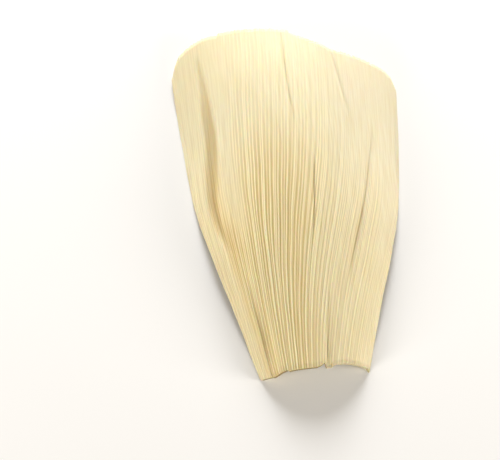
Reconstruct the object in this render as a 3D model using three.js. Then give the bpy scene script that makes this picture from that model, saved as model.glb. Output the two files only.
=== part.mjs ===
import * as THREE from 'three';

// A dried corn husk: one dry leaf, cut straight at its base and torn at its tip.
// It lies with its ribbed outer side up, cupped like a shallow arch, and rests on its margins.
// X runs across the leaf, Y from the cut base to the torn tip and Z up. Sizes are in millimetres.

// The leaf is one thin sheet. Its ribs are raised on the outer side only.
const THICKNESS = 0.6;
const RIBS = 52;
const COLUMNS = 2 * RIBS;
const ROWS = 22;
const SECTION_STEPS = 240;
// Towards the cut base the sheet thickens on its inner side.
const THICK_BASE = { from: -113, to: -90, extra: 0.6 };

// Cross-sections along the leaf. left and right are the margins. bend is how many degrees the
// leaf turns down from its crown to a margin, and flare is the share of it that the margin gives
// back as it curls outwards. A lift below zero presses that margin flat on what it rests on.
const STATIONS = [
  { y: -115, left: -27.5, right: 28.0, bend: 58, flare: 0.00, liftLeft: -1.2, liftRight: -1.2 },
  { y: -76, left: -39.0, right: 39.0, bend: 56, flare: 0.15, liftLeft: 2.5, liftRight: 2.5 },
  { y: -41, left: -49.5, right: 50.0, bend: 57, flare: 0.30, liftLeft: 4.0, liftRight: 3.0 },
  { y: -6, left: -58.3, right: 59.0, bend: 62, flare: 0.42, liftLeft: 1.0, liftRight: 0.5 },
  { y: 34, left: -63.5, right: 64.5, bend: 64, flare: 0.50, liftLeft: -1.2, liftRight: -1.2 },
  { y: 74, left: -67.5, right: 68.0, bend: 54, flare: 0.50, liftLeft: 0.8, liftRight: 0.8 },
  { y: 114, left: -70.5, right: 69.5, bend: 36, flare: 0.40, liftLeft: 3.0, liftRight: 2.0 },
];

// The two ends of the leaf. across runs from -1 at the left margin to 1 at the right one.
const TORN_TIP = [
  { across: -1.0, y: 90.0 },
  { across: -0.95, y: 99.5 },
  { across: -0.9, y: 105.5 },
  { across: -0.83, y: 108.5 },
  { across: -0.77, y: 110.5 },
  { across: -0.68, y: 112.5 },
  { across: -0.6, y: 112.5 },
  { across: -0.545, y: 111.5 },
  { across: -0.53, y: 113.0 },
  { across: -0.37, y: 112.5 },
  { across: -0.25, y: 111.0 },
  { across: 0.05, y: 107.0 },
  { across: 0.06, y: 104.5 },
  { across: 0.15, y: 101.5 },
  { across: 0.23, y: 98.0 },
  { across: 0.31, y: 95.0 },
  { across: 0.4, y: 91.5 },
  { across: 0.57, y: 90.5 },
  { across: 0.68, y: 89.5 },
  { across: 0.8, y: 88.0 },
  { across: 0.89, y: 86.0 },
  { across: 0.95, y: 83.0 },
  { across: 1.0, y: 74.0 },
];
const CUT_BASE = [
  { across: -1.0, y: -111.0 },
  { across: -0.7, y: -112.5 },
  { across: -0.6, y: -112.0 },
  { across: -0.45, y: -111.3 },
  { across: -0.42, y: -112.0 },
  { across: 0.0, y: -112.0 },
  { across: 0.07, y: -111.3 },
  { across: 0.13, y: -110.0 },
  { across: 0.15, y: -112.5 },
  { across: 0.23, y: -112.0 },
  { across: 0.31, y: -110.5 },
  { across: 0.5, y: -109.5 },
  { across: 0.93, y: -108.8 },
  { across: 1.0, y: -110.5 },
];

// Folds that run along the leaf, each a valley that sinks below the sheet around it. left and
// right are how far its two walls reach. A sharp fold has a creased bottom, the others a round one.
const FOLDS = [
  {
    name: 'deep pleat inside the left margin',
    sharp: false,
    path: [
      { y: -62, across: -0.68, depth: 0, left: 6, right: 10 },
      { y: -44, across: -0.71, depth: 2, left: 7, right: 10 },
      { y: -32, across: -0.745, depth: 3.6, left: 6.5, right: 10 },
      { y: -20, across: -0.77, depth: 5, left: 7, right: 9 },
      { y: -6, across: -0.76, depth: 6, left: 8, right: 6.5 },
      { y: 8, across: -0.72, depth: 6.4, left: 9.5, right: 4.5 },
      { y: 22, across: -0.683, depth: 6.6, left: 10.5, right: 3 },
      { y: 36, across: -0.665, depth: 6.2, left: 10.5, right: 2.4 },
      { y: 50, across: -0.668, depth: 5.2, left: 9.5, right: 2.2 },
      { y: 66, across: -0.685, depth: 3.6, left: 7, right: 2.2 },
      { y: 84, across: -0.715, depth: 2, left: 5, right: 2.2 },
      { y: 100, across: -0.745, depth: 0, left: 3, right: 2.2 },
    ],
  },
  {
    name: 'crease inside the right margin',
    sharp: true,
    path: [
      { y: -74, across: 0.46, depth: 0, left: 6, right: 4 },
      { y: -52, across: 0.49, depth: 1.2, left: 6, right: 4 },
      { y: -28, across: 0.555, depth: 2.6, left: 6, right: 3.5 },
      { y: -4, across: 0.61, depth: 2.6, left: 6, right: 3.5 },
      { y: 14, across: 0.65, depth: 2, left: 5.5, right: 3.5 },
      { y: 36, across: 0.7, depth: 0.3, left: 4, right: 5 },
      { y: 70, across: 0.75, depth: 0, left: 4, right: 5 },
    ],
  },
  {
    name: 'groove right of the middle',
    sharp: true,
    path: [
      { y: -50, across: 0.05, depth: 0, left: 2, right: 2 },
      { y: -28, across: 0.1, depth: 1.3, left: 2, right: 2 },
      { y: -8, across: 0.12, depth: 1.2, left: 2, right: 2 },
      { y: 14, across: 0.14, depth: 0, left: 2, right: 2 },
    ],
  },
  {
    name: 'shallow dent left of the middle',
    sharp: false,
    path: [
      { y: -70, across: -0.24, depth: 0, left: 8, right: 7 },
      { y: -36, across: -0.19, depth: 0.9, left: 9, right: 8 },
      { y: -4, across: -0.14, depth: 0, left: 8, right: 7 },
    ],
  },
  {
    name: 'groove in the left of the base',
    sharp: false,
    path: [
      { y: -113, across: -0.67, depth: 0.8, left: 3.5, right: 4.5 },
      { y: -92, across: -0.64, depth: 2.1, left: 4, right: 5 },
      { y: -76, across: -0.65, depth: 1.1, left: 4, right: 5 },
      { y: -56, across: -0.67, depth: 0, left: 4, right: 5 },
    ],
  },
  {
    name: 'small pleat that opens at the cut',
    sharp: true,
    path: [
      { y: -112, across: 0.17, depth: 1.4, left: 2, right: 5 },
      { y: -92, across: 0.19, depth: 0.8, left: 2, right: 5 },
      { y: -66, across: 0.24, depth: 0, left: 2, right: 4 },
    ],
  },
  {
    name: 'crease down from the step in the tip',
    sharp: true,
    path: [
      { y: 24, across: 0.02, depth: 0, left: 2.5, right: 2 },
      { y: 58, across: -0.01, depth: 0.9, left: 2.5, right: 2 },
      { y: 109, across: -0.01, depth: 0.3, left: 2.5, right: 2 },
    ],
  },
  {
    name: 'crease in the right of the tip',
    sharp: true,
    path: [
      { y: 34, across: 0.49, depth: 0, left: 2, right: 2 },
      { y: 60, across: 0.43, depth: 0.6, left: 2, right: 2 },
      { y: 96, across: 0.37, depth: 0.5, left: 2, right: 2 },
    ],
  },
];

// The height of the ribs along the leaf: coarse near the base, fine in the belly, none at the tip.
const RIB_HEIGHTS = [
  { y: -113, height: 0.42 },
  { y: -60, height: 0.46 },
  { y: -20, height: 0.36 },
  { y: 10, height: 0.24 },
  { y: 50, height: 0.15 },
  { y: 84, height: 0.00 },
];
// Every second rib sinks away towards the base, where the leaf is narrow.
const SECOND_RIB_FADE = { from: -60, to: -105, left: 0.45 };
// The two margins are nearly smooth.
const SMOOTH_MARGIN = { from: 0.72, to: 0.84, left: 0.5 };

// On their way up the leaf the ribs move to the right. shift is how far, halfway across the leaf.
const RIB_LEAN = [
  { y: -112, shift: 0.00 },
  { y: -10, shift: 0.17 },
  { y: 60, shift: 0.20 },
];

// The value of key at y, on a smooth curve through a table ordered by y.
function smoothAt(table, key, y) {
  const last = table.length - 1;
  const slope = (i) => {
    const before = table[Math.max(i - 1, 0)];
    const after = table[Math.min(i + 1, last)];
    return (after[key] - before[key]) / (after.y - before.y);
  };
  const at = THREE.MathUtils.clamp(y, table[0].y, table[last].y);
  let i = 0;
  while (i < last - 1 && at >= table[i + 1].y) i += 1;
  const span = table[i + 1].y - table[i].y;
  const t = (at - table[i].y) / span;
  const t2 = t * t;
  const t3 = t2 * t;
  return (2 * t3 - 3 * t2 + 1) * table[i][key]
    + (t3 - 2 * t2 + t) * span * slope(i)
    + (3 * t2 - 2 * t3) * table[i + 1][key]
    + (t3 - t2) * span * slope(i + 1);
}

// The y of an end of the leaf, on straight runs between its points.
function endAt(points, across) {
  let i = 0;
  while (i < points.length - 2 && across > points[i + 1].across) i += 1;
  const from = points[i];
  const to = points[i + 1];
  const t = (across - from.across) / (to.across - from.across);
  return THREE.MathUtils.lerp(from.y, to.y, THREE.MathUtils.clamp(t, 0, 1));
}

// The slope of the sheet, as an angle, at a place across a section.
function slopeAt(bend, flare, across) {
  return -THREE.MathUtils.degToRad(bend) * across * (1 - flare * across ** 4);
}

// One cross-section: the leaf's line from margin to margin, found by walking along its slope and
// then stretching the walk to the section's real width.
function sectionAt(y) {
  const bend = smoothAt(STATIONS, 'bend', y);
  const flare = smoothAt(STATIONS, 'flare', y);
  const left = smoothAt(STATIONS, 'left', y);
  const right = smoothAt(STATIONS, 'right', y);
  const liftLeft = smoothAt(STATIONS, 'liftLeft', y);
  const liftRight = smoothAt(STATIONS, 'liftRight', y);
  const walk = [new THREE.Vector2(0, 0)];
  for (let i = 0; i < SECTION_STEPS; i += 1) {
    const across = (2 * i + 1) / SECTION_STEPS - 1;
    const slope = slopeAt(bend, flare, across);
    walk.push(new THREE.Vector2(Math.cos(slope), Math.sin(slope)).add(walk[i]));
  }
  const end = walk[SECTION_STEPS];
  const stretch = (right - left) / end.x;
  const line = walk.map((step, i) => {
    const t = i / SECTION_STEPS;
    const level = THREE.MathUtils.lerp(liftLeft, liftRight, t);
    return new THREE.Vector2(left + step.x * stretch, (step.y - end.y * t) * stretch + level);
  });
  return { bend, flare, line, halfWidth: (stretch * SECTION_STEPS) / 2 };
}

// How far the folds sink the sheet at one place.
function foldDepthAt(across, y, halfWidth) {
  let depth = 0;
  for (const fold of FOLDS) {
    const first = fold.path[0];
    const last = fold.path[fold.path.length - 1];
    if (y < first.y || y > last.y) continue;
    const offset = (across - smoothAt(fold.path, 'across', y)) * halfWidth;
    const reach = Math.abs(offset) / smoothAt(fold.path, offset < 0 ? 'left' : 'right', y);
    if (reach >= 1) continue;
    const wall = fold.sharp ? (1 - reach) ** 1.5 : (1 - reach ** 2) ** 2;
    depth += Math.max(smoothAt(fold.path, 'depth', y), 0) * wall;
  }
  return depth;
}

// Where a line of the ribs that leaves the base at place crosses the leaf at y.
function leanedAt(place, y) {
  return place + smoothAt(RIB_LEAN, 'shift', y) * (1 - place ** 2) ** 2 * (1 + place);
}

// The height of a rib's crest above the sheet. Even columns are the furrows between the ribs.
function ribHeightAt(column, across, y) {
  if (column % 2 === 0) return 0;
  const { smoothstep, lerp } = THREE.MathUtils;
  const second = ((column - 1) / 2) % 2 === 0;
  const narrow = 1 - smoothstep(y, SECOND_RIB_FADE.to, SECOND_RIB_FADE.from);
  const faded = second ? lerp(1, SECOND_RIB_FADE.left, narrow) : 1;
  const margin = smoothstep(Math.abs(across), SMOOTH_MARGIN.from, SMOOTH_MARGIN.to);
  return Math.max(smoothAt(RIB_HEIGHTS, 'height', y), 0) * faded * lerp(1, SMOOTH_MARGIN.left, margin);
}

// One point of the leaf. place is where its rib line leaves the base, and along runs from 0 at the
// base to 1 at the tip. side is 1 on the ribbed outer side and -1 on the smooth inner one.
function leafPoint(place, along, side) {
  const tip = endAt(TORN_TIP, leanedAt(place, TORN_TIP[0].y));
  const y = THREE.MathUtils.lerp(endAt(CUT_BASE, place), tip, along);
  const across = leanedAt(place, y);
  const section = sectionAt(y);
  const steps = ((across + 1) / 2) * SECTION_STEPS;
  const step = Math.min(Math.floor(steps), SECTION_STEPS - 1);
  const middle = section.line[step].clone().lerp(section.line[step + 1], steps - step);
  const slope = slopeAt(section.bend, section.flare, across);
  const column = Math.round(((place + 1) / 2) * COLUMNS);
  const rib = ribHeightAt(column, across, y);
  const extra = THICK_BASE.extra * (1 - THREE.MathUtils.smoothstep(y, THICK_BASE.from, THICK_BASE.to));
  const offset = side > 0 ? THICKNESS / 2 + rib : -THICKNESS / 2 - extra;
  const x = middle.x - Math.sin(slope) * offset;
  const z = middle.y + Math.cos(slope) * offset - foldDepthAt(across, y, section.halfWidth);
  const lowest = side > 0 ? THICKNESS : 0;
  return new THREE.Vector3(x, y, Math.max(z, lowest));
}

// The sheet starts as a flat box of unit squares, and each of its points is moved onto the leaf.
function huskGeometry() {
  const geometry = new THREE.BoxGeometry(2, 1, 2, COLUMNS, ROWS, 1);
  const position = geometry.attributes.position;
  const from = new THREE.Vector3();
  for (let i = 0; i < position.count; i += 1) {
    from.fromBufferAttribute(position, i);
    const point = leafPoint(from.x, from.y + 0.5, from.z);
    position.setXYZ(i, point.x, point.y, point.z);
  }
  geometry.computeVertexNormals();
  return geometry;
}

const straw = new THREE.MeshStandardMaterial({ color: 0xe6d3a3, roughness: 0.8, metalness: 0 });
const husk = new THREE.Mesh(huskGeometry(), straw);
husk.name = 'husk';

const part = new THREE.Group();
part.add(husk);

export default part;
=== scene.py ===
import math

import bmesh
import bpy
import numpy as np
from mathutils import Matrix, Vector


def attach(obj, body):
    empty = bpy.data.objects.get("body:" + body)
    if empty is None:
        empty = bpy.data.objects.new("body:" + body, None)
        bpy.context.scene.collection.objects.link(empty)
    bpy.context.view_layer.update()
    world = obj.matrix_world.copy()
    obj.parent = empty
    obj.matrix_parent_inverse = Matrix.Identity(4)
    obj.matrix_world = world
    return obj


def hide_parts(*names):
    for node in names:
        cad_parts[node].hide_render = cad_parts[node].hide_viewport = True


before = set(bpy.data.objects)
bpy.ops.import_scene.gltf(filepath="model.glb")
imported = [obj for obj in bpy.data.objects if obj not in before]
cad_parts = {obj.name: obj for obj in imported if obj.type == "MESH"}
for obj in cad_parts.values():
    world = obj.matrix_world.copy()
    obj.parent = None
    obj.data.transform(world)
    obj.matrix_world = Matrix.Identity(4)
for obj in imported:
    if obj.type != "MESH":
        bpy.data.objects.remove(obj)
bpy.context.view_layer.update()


# The husk's line
# The real piece is one dry leaf, cupped like a shallow arch. Its form is a row of cross-sections
# from the cut base to the torn tip, in metres, each one as wide and as bent as the leaf is there.

# The columns are y, left margin, right margin, bend in degrees, flare, left lift and right lift.
# Flare is the share of the bend that a margin gives back. A lift below zero is pressed flat.
STATIONS = np.array([
    (-0.115, -0.0275, 0.0280, 58, 0.00, -0.0012, -0.0012),
    (-0.076, -0.0390, 0.0390, 56, 0.15, 0.0025, 0.0025),
    (-0.041, -0.0495, 0.0500, 57, 0.30, 0.0040, 0.0030),
    (-0.006, -0.0583, 0.0590, 62, 0.42, 0.0010, 0.0005),
    (0.034, -0.0635, 0.0645, 64, 0.50, -0.0012, -0.0012),
    (0.074, -0.0675, 0.0680, 54, 0.50, 0.0008, 0.0008),
    (0.114, -0.0705, 0.0695, 36, 0.40, 0.0030, 0.0020),
])
# The ends of the leaf: places across it, from -1 at the left margin to 1 at the right, and their y.
TORN_TIP = np.array([
    (-1.00, 0.0900), (-0.95, 0.0995), (-0.90, 0.1055), (-0.83, 0.1085), (-0.77, 0.1105),
    (-0.68, 0.1125), (-0.60, 0.1125), (-0.545, 0.1115), (-0.53, 0.1130), (-0.37, 0.1125),
    (-0.25, 0.1110), (0.05, 0.1070), (0.06, 0.1045), (0.15, 0.1015), (0.23, 0.0980),
    (0.31, 0.0950), (0.40, 0.0915), (0.57, 0.0905), (0.68, 0.0895), (0.80, 0.0880),
    (0.89, 0.0860), (0.95, 0.0830), (1.00, 0.0740),
])
CUT_BASE = np.array([
    (-1.00, -0.1110), (-0.70, -0.1125), (-0.60, -0.1120), (-0.45, -0.1113), (-0.42, -0.1120),
    (0.00, -0.1120), (0.07, -0.1113), (0.13, -0.1100), (0.15, -0.1125), (0.23, -0.1120),
    (0.31, -0.1105), (0.50, -0.1095), (0.93, -0.1088), (1.00, -0.1105),
])
STEPS_ACROSS = 240


def smooth_at(table, column, y):
    """The value of a column at y, on a smooth curve through a table ordered by its first column."""
    ys, values = table[:, 0], table[:, column]
    before = np.r_[0, np.arange(len(ys) - 1)]
    after = np.r_[np.arange(1, len(ys)), len(ys) - 1]
    slopes = (values[after] - values[before]) / (ys[after] - ys[before])
    at = np.clip(y, ys[0], ys[-1])
    i = np.clip(np.searchsorted(ys, at, side="right") - 1, 0, len(ys) - 2)
    span = ys[i + 1] - ys[i]
    t = (at - ys[i]) / span
    return ((2 * t**3 - 3 * t**2 + 1) * values[i] + (t**3 - 2 * t**2 + t) * span * slopes[i]
            + (3 * t**2 - 2 * t**3) * values[i + 1] + (t**3 - t**2) * span * slopes[i + 1])


def lay_across(across, y):
    """Points on the middle of the leaf at places across its sections, with the sheet's slope there
    and the half width of the flattened section."""
    y_rows = np.asarray(y)[:, None]
    left, right, bend, flare, lift_left, lift_right = (
        smooth_at(STATIONS, column, y_rows) for column in range(1, 7)
    )
    bend = np.radians(bend)
    places = np.linspace(-1, 1, STEPS_ACROSS + 1)
    between = (places[1:] + places[:-1]) / 2
    walk_slope = -bend * between * (1 - flare * between**4)
    start = np.zeros_like(y_rows)
    x = np.concatenate([start, np.cumsum(np.cos(walk_slope), 1)], 1)
    z = np.concatenate([start, np.cumsum(np.sin(walk_slope), 1)], 1)
    stretch = (right - left) / x[:, -1:]
    t = (places + 1) / 2
    x = left + x * stretch
    z = (z - z[:, -1:] * t) * stretch + lift_left * (1 - t) + lift_right * t
    place = (np.asarray(across) + 1) / 2 * STEPS_ACROSS
    step = np.minimum(place.astype(int), STEPS_ACROSS - 1)
    rest = place - step
    row = np.arange(len(step))
    x = x[row, step] * (1 - rest) + x[row, step + 1] * rest
    z = z[row, step] * (1 - rest) + z[row, step + 1] * rest
    slope = (-bend * across[:, None] * (1 - flare * across[:, None]**4))[:, 0]
    return x, z, slope, stretch[:, 0] * STEPS_ACROSS / 2


# The folds
# A husk dries into pleats and creases that run with its ribs. Each is a valley in the sheet, with
# a creased or a round bottom. Its path gives y, the place across, the depth, and how far the walls
# reach to the left and to the right.
FOLDS = [
    # the deep pleat inside the left margin, where the body of the leaf bulges over its flange
    ("round", [
        (-0.062, -0.68, 0, 0.006, 0.010), (-0.044, -0.71, 0.0020, 0.007, 0.010),
        (-0.032, -0.745, 0.0036, 0.0065, 0.010), (-0.020, -0.77, 0.0050, 0.007, 0.009),
        (-0.006, -0.76, 0.0060, 0.008, 0.0065), (0.008, -0.72, 0.0064, 0.0095, 0.0045),
        (0.022, -0.683, 0.0066, 0.0105, 0.0030), (0.036, -0.665, 0.0062, 0.0105, 0.0024),
        (0.050, -0.668, 0.0052, 0.0095, 0.0022), (0.066, -0.685, 0.0036, 0.007, 0.0022),
        (0.084, -0.715, 0.0020, 0.005, 0.0022), (0.100, -0.745, 0, 0.003, 0.0022)]),
    # the crease inside the right margin
    ("sharp", [
        (-0.074, 0.46, 0, 0.006, 0.004), (-0.052, 0.49, 0.0012, 0.006, 0.004),
        (-0.028, 0.555, 0.0026, 0.006, 0.0035), (-0.004, 0.61, 0.0026, 0.006, 0.0035),
        (0.014, 0.65, 0.0020, 0.0055, 0.0035), (0.036, 0.70, 0.0003, 0.004, 0.005),
        (0.070, 0.75, 0, 0.004, 0.005)]),
    # the groove right of the middle
    ("sharp", [
        (-0.050, 0.05, 0, 0.0015, 0.0015), (-0.028, 0.10, 0.0013, 0.0018, 0.0018),
        (-0.008, 0.12, 0.0012, 0.0018, 0.0018), (0.014, 0.14, 0, 0.0015, 0.0015)]),
    # the shallow dent left of the middle
    ("round", [
        (-0.070, -0.24, 0, 0.008, 0.007), (-0.036, -0.19, 0.0009, 0.009, 0.008),
        (-0.004, -0.14, 0, 0.008, 0.007)]),
    # the groove in the left of the base
    ("round", [
        (-0.113, -0.67, 0.0008, 0.0035, 0.0045), (-0.092, -0.64, 0.0021, 0.004, 0.005),
        (-0.076, -0.65, 0.0011, 0.004, 0.005), (-0.056, -0.67, 0, 0.004, 0.005)]),
    # the small pleat that opens at the cut
    ("sharp", [
        (-0.112, 0.17, 0.0014, 0.0015, 0.005), (-0.092, 0.19, 0.0008, 0.0015, 0.005),
        (-0.066, 0.24, 0, 0.0015, 0.004)]),
    # the crease down from the step in the tip
    ("sharp", [
        (0.024, 0.02, 0, 0.0025, 0.0015), (0.058, -0.01, 0.0009, 0.0025, 0.0015),
        (0.109, -0.01, 0.0003, 0.0025, 0.0015)]),
    # the crease in the right of the tip
    ("sharp", [
        (0.034, 0.49, 0, 0.002, 0.002), (0.060, 0.43, 0.0006, 0.002, 0.002),
        (0.096, 0.37, 0.0005, 0.002, 0.002)]),
]
CREASE_WIDTH = 0.0005
# A creased bottom this deep or deeper is darkened in full with painted shade.
FULL_CREASE = 0.0014


def hump(offset, width):
    """1 where offset is 0, and falling smoothly to nothing about two widths away."""
    return np.exp(-((offset / width) ** 2))


def fold_depth(across, y, half_width):
    """How far the folds sink the sheet at each place, and how near it is to a creased bottom."""
    depth, creased = np.zeros_like(across), np.zeros_like(across)
    for bottom, path in FOLDS:
        path = np.array(path, float)
        inside = (y >= path[0, 0]) & (y <= path[-1, 0])
        offset = (across - smooth_at(path, 1, y)) * half_width
        wall_reach = np.where(offset < 0, smooth_at(path, 3, y), smooth_at(path, 4, y))
        reach = np.clip(np.abs(offset) / wall_reach, 0, 1)
        wall = (1 - reach) ** 1.5 if bottom == "sharp" else (1 - reach**2) ** 2
        sunk = np.where(inside, np.maximum(smooth_at(path, 2, y), 0), 0)
        depth += sunk * wall
        if bottom == "sharp":
            creased += np.minimum(sunk / FULL_CREASE, 1) * hump(offset, CREASE_WIDTH)
    return depth, creased


# The ribs
# The leaf's veins stand up on its outer side as narrow round ribs. Every second one is a main rib.
# Towards the base the fine ones between sink, and so does every second main one. All of them are
# low on the margins and nearly run out at the tip.
MAIN_RIBS = 52
RIBS = 2 * MAIN_RIBS
MAIN_HEIGHTS = np.array([
    (-0.113, 0.00038), (-0.060, 0.00043), (-0.020, 0.00034), (0.010, 0.00019), (0.050, 0.00014),
    (0.080, 0.00008), (0.110, 0.00003),
])
MAIN_RIB_WIDTH = 0.00030
FINE_RIB_WIDTH = 0.00025
# Towards the base the main ribs widen, by this much and along this stretch.
WIDER_AT_BASE = 0.00007
WIDER_ALONG = (-0.070, -0.030)
# Each rib has a strength of its own, stands a little off its place and changes along its way.
RIB_STRENGTH = (0.6, 1.2)
RIB_WANDER = 0.28
RIB_CHANGE = 0.2
CHANGE_LENGTH = 0.02
# A fade is where it ends towards the base, where it starts, and the share of the rib that is left.
FINE_RIB_FADE = (-0.095, -0.020, 0.30)
SECOND_RIB_FADE = (-0.105, -0.060, 0.60)

# Where the ribs are lower or higher than elsewhere, by what share, and the stretches across the
# leaf, from -1 to 1, and along it in which that sets in.
LOW_MARGIN = 0.50
MARGIN_ACROSS = (0.72, 0.84)
LOW_BASE_RIGHT = 0.25
BASE_RIGHT_ACROSS = (0.2, 0.4)
BASE_RIGHT_ALONG = (-0.08, -0.04)
LOW_UPPER_RIGHT = 0.6
UPPER_RIGHT_ACROSS = (0.1, 0.45)
UPPER_RIGHT_ALONG = (-0.04, 0.03)
HIGH_LEFT = 0.3
LEFT_ACROSS = (-0.05, -0.35)
LOW_BULGE = 0.8
BULGE_ACROSS = -0.60
BULGE_WIDTH = 0.11
BULGE_ALONG = (-0.045, -0.015)

# How far the ribs have moved to the right on their way up the leaf, and the share of that which
# they do: the least at the left margin, all of it right of the middle, less at the right margin.
LEAN = np.array([(-0.112, 0), (-0.010, 0.27), (0.060, 0.36), (0.112, 0.40)])
LEFT_LEAN = 0.3
ALL_LEAN_ACROSS = 0.35
LOST_LEAN = 0.3
LOST_LEAN_ACROSS = 0.5

# The leaf's random values cover a strip that reaches this far from its middle to either end.
STRIP_REACH = 0.12
seeded = np.random.RandomState(7)


def ease(value, start, end):
    """0 before start and 1 past end, with a smooth rise between them. end may be the lower one."""
    t = np.clip((value - start) / (end - start), 0, 1)
    return t * t * (3 - 2 * t)


def uneven(across, y, cells_across, cell_along):
    """Smooth random values from -1 to 1, in cells that are long with the leaf."""
    u = (across + 1) / 2 * cells_across
    v = (y + STRIP_REACH) / cell_along
    grid = seeded.uniform(-1, 1, (cells_across + 2, int(2 * STRIP_REACH / cell_along) + 3))
    i, j = u.astype(int), v.astype(int)
    s, t = ease(u - i, 0, 1), ease(v - j, 0, 1)
    near = grid[i, j] * (1 - t) + grid[i, j + 1] * t
    far = grid[i + 1, j] * (1 - t) + grid[i + 1, j + 1] * t
    return near * (1 - s) + far * s


def faded(y, fade):
    """The share of a rib that a fade leaves at y."""
    low, high, share = fade
    return share + (1 - share) * ease(y, low, high)


def among_ribs(across, y):
    """Where a place lies among the ribs, counted from the left margin at the base."""
    leaning = LEFT_LEAN + (1 - LEFT_LEAN) * ease(across, -1, ALL_LEAN_ACROSS)
    leaning = leaning - LOST_LEAN * ease(across, LOST_LEAN_ACROSS, 1)
    return (across - smooth_at(LEAN, 1, y) * leaning + 1) / 2 * RIBS


def ribbing(across, y):
    """How high the ribs stand in each part of the leaf, as a share of the main ribs' height."""
    share = 1 - LOW_MARGIN * ease(np.abs(across), *MARGIN_ACROSS)
    at_base = 1 - ease(y, *BASE_RIGHT_ALONG)
    share *= 1 - LOW_BASE_RIGHT * ease(across, *BASE_RIGHT_ACROSS) * at_base
    in_upper_right = ease(across, *UPPER_RIGHT_ACROSS) * ease(y, *UPPER_RIGHT_ALONG)
    share *= 1 - LOW_UPPER_RIGHT * in_upper_right
    share *= 1 + HIGH_LEFT * ease(across, *LEFT_ACROSS)
    share *= 1 - LOW_BULGE * hump(across - BULGE_ACROSS, BULGE_WIDTH) * ease(y, *BULGE_ALONG)
    return share


def rib_relief(turn, across, y, pitch):
    """The height of the ribs above the sheet, how much of a crest each place is, and the ribbing.
    turn counts fine and main ribs from the left, pitch is their spacing."""
    share = ribbing(across, y)
    height = np.maximum(smooth_at(MAIN_HEIGHTS, 1, y), 0) * share
    strength = seeded.uniform(*RIB_STRENGTH, RIBS + 2)
    wander = seeded.uniform(-RIB_WANDER, RIB_WANDER, RIBS + 2)
    main = np.minimum(2 * np.floor(turn / 2).astype(int) + 1, RIBS - 1)
    fine = 2 * np.rint(turn / 2).astype(int)
    change = 1 + RIB_CHANGE * uneven(across, y, RIBS, CHANGE_LENGTH)
    main_share = strength[main] * np.where(main % 4 == 3, faded(y, SECOND_RIB_FADE), 1)
    fine_share = strength[fine] * faded(y, FINE_RIB_FADE)
    main_width = MAIN_RIB_WIDTH + WIDER_AT_BASE * (1 - ease(y, *WIDER_ALONG))
    main_crest = main_share * hump((turn - main - wander[main]) * pitch, main_width)
    fine_crest = fine_share * hump((turn - fine - wander[fine]) * pitch, FINE_RIB_WIDTH)
    crest = np.maximum(main_crest, fine_crest) * change
    return height * crest, crest, share


# The leaf
# The real leaf is one sheet of dry tissue. Here it is a flat slab of unit squares that is moved
# point by point onto the husk's line, with its folds, its ribs and the uneven way it dried.
COLUMNS = 6 * RIBS
ROWS = 74
THICKNESS = 0.0006
THIN_MARGIN = 0.5
THIN_ACROSS = 0.93
# Towards the cut base the sheet thickens on its inner side.
THICK_BASE = 0.0006
THICK_ALONG = (-0.113, -0.09)
# The inner side follows the ribs by this share of their height.
INNER_SHARE = 0.35

# How far the leaf dried out of line, with the cells across it and the length of each cell.
DRIFT = 0.005
DRIFT_CELLS = (26, 0.03)
SWELL = 0.00030
SWELL_CELLS = (9, 0.045)
RIPPLE = 0.00006
RIPPLE_CELLS = (26, 0.022)
MARGIN_WAVE = 0.00015
MARGIN_WAVE_CELLS = (2, 0.008)
# The torn tip has small jags, each of them up to this deep.
TIP_JAG = 0.0006
TIP_JAGS = 158

slab = bmesh.new()
bmesh.ops.create_grid(slab, x_segments=COLUMNS, y_segments=ROWS, size=1)
bmesh.ops.solidify(slab, geom=slab.faces[:], thickness=1)
bmesh.ops.recalc_face_normals(slab, faces=slab.faces[:])
flat = np.array([v.co for v in slab.verts])
outer = flat[:, 2] > flat[:, 2].mean()
across = np.clip(flat[:, 0], -1, 1)
along = (flat[:, 1] + 1) / 2
base_y = np.interp(across, CUT_BASE[:, 0], CUT_BASE[:, 1])
tip_y = np.interp(across, TORN_TIP[:, 0], TORN_TIP[:, 1])
jags = seeded.uniform(0, 1, TIP_JAGS + 2)
tip_y = tip_y - TIP_JAG * jags[((across + 1) / 2 * TIP_JAGS).astype(int)]
y = base_y * (1 - along) + tip_y * along
turn = among_ribs(across, y)
across = across + DRIFT * uneven(across, y, *DRIFT_CELLS) * (1 - across**8)
x, z, slope, half_width = lay_across(across, y)
rib, crest, rib_share = rib_relief(turn, across, y, half_width * 2 / RIBS)
depth, creased = fold_depth(across, y, half_width)
edge = 1 - THIN_MARGIN * ease(np.abs(across), THIN_ACROSS, 1)
swell = SWELL * uneven(across, y, *SWELL_CELLS) + RIPPLE * uneven(across, y, *RIPPLE_CELLS)
thick_base = THICK_BASE * (1 - ease(y, *THICK_ALONG))
inner_side = -THICKNESS / 2 * edge + INNER_SHARE * rib - thick_base
offset = np.where(outer, THICKNESS / 2 * edge + rib, inner_side) + swell
margin_wave = MARGIN_WAVE * uneven(across, y, *MARGIN_WAVE_CELLS) * np.abs(across)
x = x - np.sin(slope) * offset + margin_wave
z = z + np.cos(slope) * offset - depth
z = np.maximum(z, np.where(outer, THICKNESS * edge, 0))
for vertex, place in zip(slab.verts, np.stack([x, y, z], 1)):
    vertex.co = place

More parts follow.
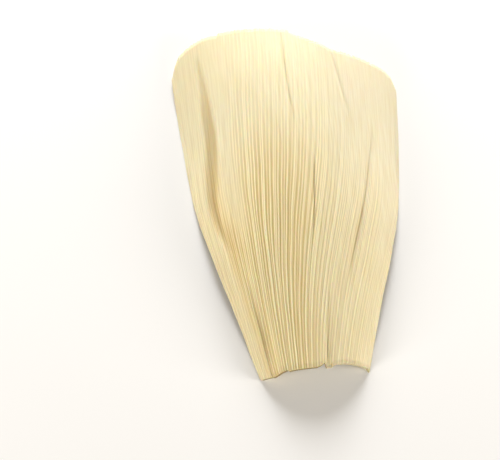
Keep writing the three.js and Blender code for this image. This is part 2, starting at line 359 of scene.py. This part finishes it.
# The faces of the cut keep how brown they are. They are less so right of this place across it.
CUT_ROW = 0.5 / ROWS
CUT_CHANGE_ACROSS = 0.15
CUT_RIGHT = 0.4
cut = slab.faces.layers.float.new("cut")
for face in slab.faces:
    sides = {bool(outer[vertex.index]) for vertex in face.verts}
    face.smooth = len(sides) == 1
    if len(sides) == 2 and max(along[vertex.index] for vertex in face.verts) < CUT_ROW:
        middle = sum(across[vertex.index] for vertex in face.verts) / len(face.verts)
        face[cut] = CUT_RIGHT if middle > CUT_CHANGE_ACROSS else 1
slab.normal_update()
leaf_mesh = bpy.data.meshes.new("husk_leaf")
slab.to_mesh(leaf_mesh)
slab.free()
leaf = bpy.data.objects.new("husk_leaf", leaf_mesh)
bpy.context.scene.collection.objects.link(leaf)

# Where the leaf's colours lie: stretches across it, from -1 to 1, or along it in metres, in which
# a colour sets in, and the shares by which it changes there.
# The painted shade of a fold grows with its depth. From the belly to the tip only the pleat's left
# wall, in the shadow of the leaf's body, has it.
FULL_FOLD = 0.006
FOLD_CURVE = 0.7
PLEAT_SIDE = (-0.0005, 0.002)
PLEAT_SIDE_ALONG = (-0.030, -0.010)
# The ribs show less towards the tip.
PLAIN_TIP = 0.8
PLAIN_TIP_ALONG = (-0.050, 0.100)
# The lower left of the leaf is darker, but not its margin; the bulge by the pleat is painted paler,
# a painted highlight on its lit shoulder.
DEEP_ALONG = (-0.040, 0.060)
PALE_RIGHT = 0.8
PALE_RIGHT_ACROSS = (-0.25, 0.25)
PALE_MARGIN = 0.7
PALE_MARGIN_ACROSS = (-0.74, -0.86)
# Painted light: the bulge beside the pleat is made paler where it catches the light.
PALE_BULGE = 0.6
PALE_BULGE_ACROSS = -0.58
PALE_BULGE_WIDTH = 0.14
PALE_BULGE_ALONG = (-0.045, -0.010)
TIP_ALONG = (0.020, 0.100)
RIGHT_ACROSS = (0.05, 0.55)
RIGHT_ALONG = (-0.065, -0.020)
# The painted shade of the belly, a brown patch: its middle and its width across and along the leaf.
BROWN_ACROSS = -0.12
BROWN_WIDTH = 0.30
BROWN_ALONG = -0.012
BROWN_LENGTH = 0.040
MM_IN_A_METRE = 1000


def keep_on_mesh(mesh, name, values):
    """Keeps one number for each point, for the material to read."""
    layer = mesh.attributes.new(name, "FLOAT", "POINT")
    layer.data.foreach_set("value", np.asarray(values, np.float32))


pleat = np.array(FOLDS[0][1], float)
past_pleat = (across - smooth_at(pleat, 1, y)) * half_width
left_of_pleat = 1 - ease(past_pleat, *PLEAT_SIDE) * ease(y, *PLEAT_SIDE_ALONG)
bulge = hump(across - PALE_BULGE_ACROSS, PALE_BULGE_WIDTH) * ease(y, *PALE_BULGE_ALONG)
deep = 1 - ease(y, *DEEP_ALONG)
deep *= 1 - PALE_RIGHT * ease(across, *PALE_RIGHT_ACROSS)
deep *= 1 - PALE_MARGIN * ease(across, *PALE_MARGIN_ACROSS)
deep *= 1 - PALE_BULGE * bulge
brown = hump(across - BROWN_ACROSS, BROWN_WIDTH) * hump(y - BROWN_ALONG, BROWN_LENGTH)

keep_on_mesh(leaf_mesh, "across_mm", across * half_width * MM_IN_A_METRE)
keep_on_mesh(leaf_mesh, "along_mm", y * MM_IN_A_METRE)
keep_on_mesh(leaf_mesh, "crest", crest)
keep_on_mesh(leaf_mesh, "creased", creased)
keep_on_mesh(leaf_mesh, "fold", np.minimum(depth / FULL_FOLD, 1) ** FOLD_CURVE * left_of_pleat)
keep_on_mesh(leaf_mesh, "ribbed", rib_share * (1 - PLAIN_TIP * ease(y, *PLAIN_TIP_ALONG)))
keep_on_mesh(leaf_mesh, "pale", 1 - deep)
keep_on_mesh(leaf_mesh, "tip", ease(y, *TIP_ALONG))
keep_on_mesh(leaf_mesh, "right", ease(across, *RIGHT_ACROSS) * ease(y, *RIGHT_ALONG))
keep_on_mesh(leaf_mesh, "brown", brown)

# The tones of the dry leaf and its painted shade and highlights, in the order in which they are
# laid on it, and the shares by which the later ones cover what lies under them.
DEEP_STRAW = (0.80, 0.61, 0.29)
GOLDEN_STRAW = (0.91, 0.73, 0.39)
PALE_STRAW = (0.82, 0.77, 0.56)
TIP_STRAW = (0.80, 0.71, 0.46)
TIP_SHARE = 0.8
RIGHT_STRAW = (0.66, 0.61, 0.50)
RIGHT_SHARE = 0.4
FIBRE = (0.62, 0.49, 0.26)
FIBRE_LOST_AT_TIP = 0.5
# Painted shade: the belly darkened brown where it slopes away from the lamps.
BELLY_SHADE = (0.58, 0.43, 0.16)
BELLY_SHARE = 0.42
# The furrows between the ribs are darker, partly their own deeper tone and partly painted shade;
# the crests are paler, partly their own tone and partly a painted highlight.
FURROW_TONE_AND_SHADE = (0.54, 0.42, 0.16)
FURROW_SHARE = 0.6
FURROW_LOST_WHERE_PALE = 0.5
CREST_TONE_AND_HIGHLIGHT = (1.0, 0.89, 0.58)
# Painted shade in the folds: the pleat's left wall and the valleys darkened as if in shadow.
FOLD_SHADE = (0.51, 0.35, 0.12)
FOLD_SHARE = 0.42
# Painted shade along the bottoms of the sharp creases.
CREASE_SHADE = (0.45, 0.34, 0.15)
CREASE_SHARE = 0.45
CUT_BROWN = (0.24, 0.17, 0.06)
CUT_SHARE = 0.9
# Streaks run with the leaf: how many to a millimetre across and along it, their detail and seed.
# The broad ones and the fibres show where they pass a start, and grow by a gain.
BAND_STREAKS = (0.16, 0.010, 3, 1)
BAND_START = 0.417
BAND_GAIN = 6
FIBRE_STREAKS = (0.9, 0.04, 5, 5)
FIBRE_START = 0.38
FIBRE_GAIN = 1.5
GRAIN_STREAKS = (5, 0.12, 6, 9)


def straw_material():
    """Dry straw with fine fibres: pale cream on the crests, partly a painted highlight, darker in
    the furrows, partly painted shade, and painted shade in the folds, the creases and the belly.
    """
    straw = bpy.data.materials.new("dry_straw")
    straw.use_nodes = True
    nodes, links = straw.node_tree.nodes, straw.node_tree.links
    shader = nodes["Principled BSDF"]
    shader.inputs["Roughness"].default_value = 0.6
    shader.inputs["Specular IOR Level"].default_value = 0.2
    shader.inputs["Subsurface Weight"].default_value = 0.5
    shader.inputs["Subsurface Radius"].default_value = (1.0, 0.55, 0.2)
    shader.inputs["Subsurface Scale"].default_value = 0.0003

    def attribute(name):
        node = nodes.new("ShaderNodeAttribute")
        node.attribute_name = name
        return node.outputs["Fac"]

    def reckon(operation, a, b):
        node = nodes.new("ShaderNodeMath")
        node.operation = operation
        for socket, value in zip(node.inputs, (a, b)):
            if isinstance(value, (int, float)):
                socket.default_value = value
            else:
                links.new(value, socket)
        return node.outputs[0]

    def beyond(value, start, gain):
        return reckon("MULTIPLY", reckon("SUBTRACT", value, start), gain)

    def lessened(value, by, share):
        return reckon("MULTIPLY", value, reckon("SUBTRACT", 1, reckon("MULTIPLY", by, share)))

    def streaks(across_scale, along_scale, detail, seed):
        place = nodes.new("ShaderNodeCombineXYZ")
        links.new(reckon("MULTIPLY", attribute("across_mm"), across_scale), place.inputs["X"])
        links.new(reckon("MULTIPLY", attribute("along_mm"), along_scale), place.inputs["Y"])
        place.inputs["Z"].default_value = seed
        noise = nodes.new("ShaderNodeTexNoise")
        noise.inputs["Scale"].default_value = 1
        noise.inputs["Detail"].default_value = detail
        links.new(place.outputs[0], noise.inputs["Vector"])
        return noise.outputs["Fac"]

    def blend(share, under, over):
        node = nodes.new("ShaderNodeMix")
        node.data_type = "RGBA"
        for name, value in (("Factor", share), ("A", under), ("B", over)):
            socket = [s for s in node.inputs if s.name == name and s.enabled][0]
            if isinstance(value, tuple):
                socket.default_value = (*value, 1)
            else:
                links.new(value, socket)
        return [s for s in node.outputs if s.enabled][0]

    def cover(name, share, under, over):
        return blend(reckon("MULTIPLY", attribute(name), share), under, over)

    bands = beyond(streaks(*BAND_STREAKS), BAND_START, BAND_GAIN)
    tone = blend(bands, DEEP_STRAW, GOLDEN_STRAW)
    tone = blend(attribute("pale"), tone, PALE_STRAW)
    tone = cover("tip", TIP_SHARE, tone, TIP_STRAW)
    tone = cover("right", RIGHT_SHARE, tone, RIGHT_STRAW)
    fibres = beyond(streaks(*FIBRE_STREAKS), FIBRE_START, FIBRE_GAIN)
    tone = blend(lessened(fibres, attribute("tip"), FIBRE_LOST_AT_TIP), tone, FIBRE)
    tone = cover("brown", BELLY_SHARE, tone, BELLY_SHADE)
    ribbed = attribute("ribbed")
    furrow = reckon("MULTIPLY", reckon("SUBTRACT", 1, attribute("crest")), FURROW_SHARE)
    furrow = lessened(furrow, attribute("pale"), FURROW_LOST_WHERE_PALE)
    tone = blend(reckon("MULTIPLY", furrow, ribbed), tone, FURROW_TONE_AND_SHADE)
    tone = blend(reckon("MULTIPLY", attribute("crest"), ribbed), tone, CREST_TONE_AND_HIGHLIGHT)
    tone = cover("fold", FOLD_SHARE, tone, FOLD_SHADE)
    tone = cover("creased", CREASE_SHARE, tone, CREASE_SHADE)
    tone = cover("cut", CUT_SHARE, tone, CUT_BROWN)
    links.new(tone, shader.inputs["Base Color"])
    bump = nodes.new("ShaderNodeBump")
    bump.inputs["Strength"].default_value = 0.5
    bump.inputs["Distance"].default_value = 0.0001
    links.new(streaks(*GRAIN_STREAKS), bump.inputs["Height"])
    links.new(bump.outputs[0], shader.inputs["Normal"])
    return straw


leaf_mesh.materials.append(straw_material())
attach(leaf, "root")
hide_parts("husk")


# The studio
# A plain pale floor under soft light. One broad lamp stands behind the torn tip, so the tip is
# bright and the belly, which slopes down to the cut base, is a little darker. Two smaller and
# warmer ones stand low at the right and at the left.
FLOOR_REACH = 3
UNDER_THE_HUSK = 0.0002
LAMP_REACH = 1.2
WHITE = (1, 1, 1)
WARM_WHITE = (1, 0.96, 0.89)

floor_mesh = bpy.data.meshes.new("studio_floor")
floor_shape = bmesh.new()
bmesh.ops.create_grid(floor_shape, x_segments=1, y_segments=1, size=FLOOR_REACH)
bmesh.ops.translate(floor_shape, verts=floor_shape.verts[:], vec=(0, 0, -UNDER_THE_HUSK))
floor_shape.to_mesh(floor_mesh)
floor_shape.free()
floor = bpy.data.objects.new("studio_floor", floor_mesh)
bpy.context.scene.collection.objects.link(floor)
paper = bpy.data.materials.new("floor_white")
paper.use_nodes = True
paper_shader = paper.node_tree.nodes["Principled BSDF"]
paper_shader.inputs["Base Color"].default_value = (0.9, 0.9, 0.9, 1)
paper_shader.inputs["Roughness"].default_value = 0.9
floor_mesh.materials.append(paper)


def soft_lamp(name, turn, rise, size, power, tint):
    """A round lamp that points at the husk. Turn 0 is behind the tip and 90 is to the right."""
    turn, rise = math.radians(turn), math.radians(rise)
    place = Vector((LAMP_REACH * math.sin(turn) * math.cos(rise),
                    LAMP_REACH * math.cos(turn) * math.cos(rise), LAMP_REACH * math.sin(rise)))
    lamp = bpy.data.lights.new(name, "AREA")
    lamp.shape = "DISK"
    lamp.size = size
    lamp.energy = power
    lamp.color = tint
    holder = bpy.data.objects.new(name, lamp)
    bpy.context.scene.collection.objects.link(holder)
    holder.location = place
    holder.rotation_euler = (-place).to_track_quat("-Z", "Y").to_euler()


soft_lamp("lamp_behind", turn=2, rise=25, size=0.7, power=22, tint=WHITE)
soft_lamp("lamp_right", turn=112, rise=18, size=0.5, power=10.6, tint=WARM_WHITE)
soft_lamp("lamp_left", turn=240, rise=18, size=0.5, power=9.8, tint=WARM_WHITE)

studio = bpy.data.worlds.new("studio")
studio.use_nodes = True
studio.node_tree.nodes["Background"].inputs["Color"].default_value = (1, 0.85, 0.65, 1)
studio.node_tree.nodes["Background"].inputs["Strength"].default_value = 0.14
bpy.context.scene.world = studio
bpy.context.scene.view_settings.view_transform = "Standard"


# The camera
# It looks down on the lying husk from the side of its cut base, as the photograph does.
CAMERA_TURN = math.radians(-4)
CAMERA_RISE = math.radians(60)
CAMERA_REACH = 0.664
CAMERA_AIM = Vector((-0.0285, -0.024, 0.010))
away = Vector((math.sin(CAMERA_TURN) * math.cos(CAMERA_RISE),
               -math.cos(CAMERA_TURN) * math.cos(CAMERA_RISE), math.sin(CAMERA_RISE)))
lens = bpy.data.cameras.new("camera")
lens.lens = 85
lens.sensor_width = 36
camera = bpy.data.objects.new("camera", lens)
bpy.context.scene.collection.objects.link(camera)
camera.location = CAMERA_AIM + away * CAMERA_REACH
camera.rotation_euler = (-away).to_track_quat("-Z", "Y").to_euler()
bpy.context.scene.camera = camera
